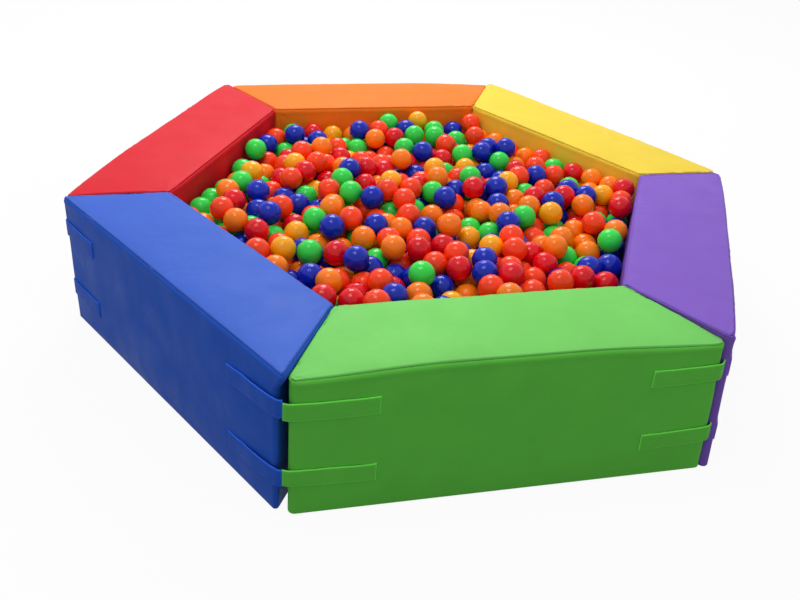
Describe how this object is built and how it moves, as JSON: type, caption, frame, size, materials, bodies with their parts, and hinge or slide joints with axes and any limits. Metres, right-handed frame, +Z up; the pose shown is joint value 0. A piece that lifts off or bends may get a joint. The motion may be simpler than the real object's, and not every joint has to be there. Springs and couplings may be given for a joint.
{
  "type": "foam playpen",
  "caption": "Hexagonal soft-play ring of covered foam blocks, strapped corner to corner, opening like a chain and holding a fill of play balls.",
  "frame": {"origin": "middle of the ring on the floor", "axes": "+X along the green block's outer face, from its blue neighbour to its purple one; +Y from the green block to the orange one; +Z up"},
  "size_m": [2.0012, 1.7469, 0.3947],
  "materials": {
    "green_vinyl": "smooth coated fabric, satin, fine grain",
    "purple_vinyl": "smooth coated fabric, satin, fine grain",
    "yellow_vinyl": "smooth coated fabric, satin, fine grain",
    "orange_vinyl": "smooth coated fabric, satin, fine grain",
    "red_vinyl": "smooth coated fabric, satin, fine grain",
    "blue_vinyl": "smooth coated fabric, satin, fine grain",
    "foam": "open-cell foam, matt",
    "zip_tape": "woven tape with a nylon coil",
    "zip_metal": "satin die-cast metal",
    "hook_tape": "matt hook tape",
    "ball_plastic": "blown plastic, glossy, slightly translucent"
  },
  "bodies": {
    "green_upper_peel_strap": {"green_strap_upper_left": "green_vinyl", "green_hook_tape_upper_left": "hook_tape"},
    "green_lower_peel_strap": {"green_strap_lower_left": "green_vinyl", "green_hook_tape_lower_left": "hook_tape"},
    "green_block": {"green_cover": "green_vinyl", "green_foam_core": "foam", "green_zip_tape": "zip_tape", "green_strap_anchor_upper_left": "green_vinyl", "green_strap_upper_right": "green_vinyl", "green_strap_anchor_lower_left": "green_vinyl", "green_strap_lower_right": "green_vinyl"},
    "green_slider": {"green_zip_slider": "zip_metal"},
    "purple_block": {"purple_cover": "purple_vinyl", "purple_foam_core": "foam", "purple_zip_tape": "zip_tape", "purple_strap_upper_left": "purple_vinyl", "purple_strap_upper_right": "purple_vinyl", "purple_strap_lower_left": "purple_vinyl", "purple_strap_lower_right": "purple_vinyl"},
    "purple_slider": {"purple_zip_slider": "zip_metal"},
    "yellow_block": {"yellow_cover": "yellow_vinyl", "yellow_foam_core": "foam", "yellow_zip_tape": "zip_tape", "yellow_strap_upper_left": "yellow_vinyl", "yellow_strap_upper_right": "yellow_vinyl", "yellow_strap_lower_left": "yellow_vinyl", "yellow_strap_lower_right": "yellow_vinyl"},
    "yellow_slider": {"yellow_zip_slider": "zip_metal"},
    "orange_block": {"orange_cover": "orange_vinyl", "orange_foam_core": "foam", "orange_zip_tape": "zip_tape", "orange_strap_upper_left": "orange_vinyl", "orange_strap_upper_right": "orange_vinyl", "orange_strap_lower_left": "orange_vinyl", "orange_strap_lower_right": "orange_vinyl", "ball_fill": "ball_plastic"},
    "orange_slider": {"orange_zip_slider": "zip_metal"},
    "red_block": {"red_cover": "red_vinyl", "red_foam_core": "foam", "red_zip_tape": "zip_tape", "red_strap_upper_left": "red_vinyl", "red_strap_upper_right": "red_vinyl", "red_strap_lower_left": "red_vinyl", "red_strap_lower_right": "red_vinyl"},
    "red_slider": {"red_zip_slider": "zip_metal"},
    "blue_block": {"blue_cover": "blue_vinyl", "blue_foam_core": "foam", "blue_zip_tape": "zip_tape", "blue_strap_upper_left": "blue_vinyl", "blue_strap_upper_right": "blue_vinyl", "blue_strap_lower_left": "blue_vinyl", "blue_strap_lower_right": "blue_vinyl"},
    "blue_slider": {"blue_zip_slider": "zip_metal"}
  },
  "joints": [
    {"name": "yellow_block_swing", "type": "hinge", "parent": "orange_block", "child": "yellow_block", "pos_m": [0.5, 0.86603, 0.195], "axis": [0, 0, 1], "range_deg": [0, 110]},
    {"name": "purple_block_swing", "type": "hinge", "parent": "yellow_block", "child": "purple_block", "pos_m": [1, 0, 0.195], "axis": [0, 0, 1], "range_deg": [0, 110]},
    {"name": "green_block_swing", "type": "hinge", "parent": "purple_block", "child": "green_block", "pos_m": [0.5, -0.86603, 0.195], "axis": [0, 0, 1], "range_deg": [0, 110]},
    {"name": "red_block_swing", "type": "hinge", "parent": "orange_block", "child": "red_block", "pos_m": [-0.5, 0.86603, 0.195], "axis": [0, 0, -1], "range_deg": [0, 110]},
    {"name": "blue_block_swing", "type": "hinge", "parent": "red_block", "child": "blue_block", "pos_m": [-1, 0, 0.195], "axis": [0, 0, -1], "range_deg": [0, 110]},
    {"name": "green_upper_strap_peel", "type": "hinge", "parent": "green_block", "child": "green_upper_peel_strap", "pos_m": [-0.309, -0.87399, 0.296], "axis": [0, 0, 1], "range_deg": [0, 150]},
    {"name": "green_lower_strap_peel", "type": "hinge", "parent": "green_block", "child": "green_lower_peel_strap", "pos_m": [-0.309, -0.87404, 0.106], "axis": [0, 0, 1], "range_deg": [0, 150]},
    {"name": "green_zip_run", "type": "slide", "parent": "green_block", "child": "green_slider", "axis": [-1, 0, 0], "range_m": [0, 0.57]},
    {"name": "purple_zip_run", "type": "slide", "parent": "purple_block", "child": "purple_slider", "axis": [-0.5, -0.866, 0], "range_m": [0, 0.57]},
    {"name": "yellow_zip_run", "type": "slide", "parent": "yellow_block", "child": "yellow_slider", "axis": [0.5, -0.866, 0], "range_m": [0, 0.57]},
    {"name": "orange_zip_run", "type": "slide", "parent": "orange_block", "child": "orange_slider", "axis": [1, 0, 0], "range_m": [0, 0.57]},
    {"name": "red_zip_run", "type": "slide", "parent": "red_block", "child": "red_slider", "axis": [0.5, 0.866, 0], "range_m": [0, 0.57]},
    {"name": "blue_zip_run", "type": "slide", "parent": "blue_block", "child": "blue_slider", "axis": [-0.5, 0.866, 0], "range_m": [0, 0.57]}
  ]
}
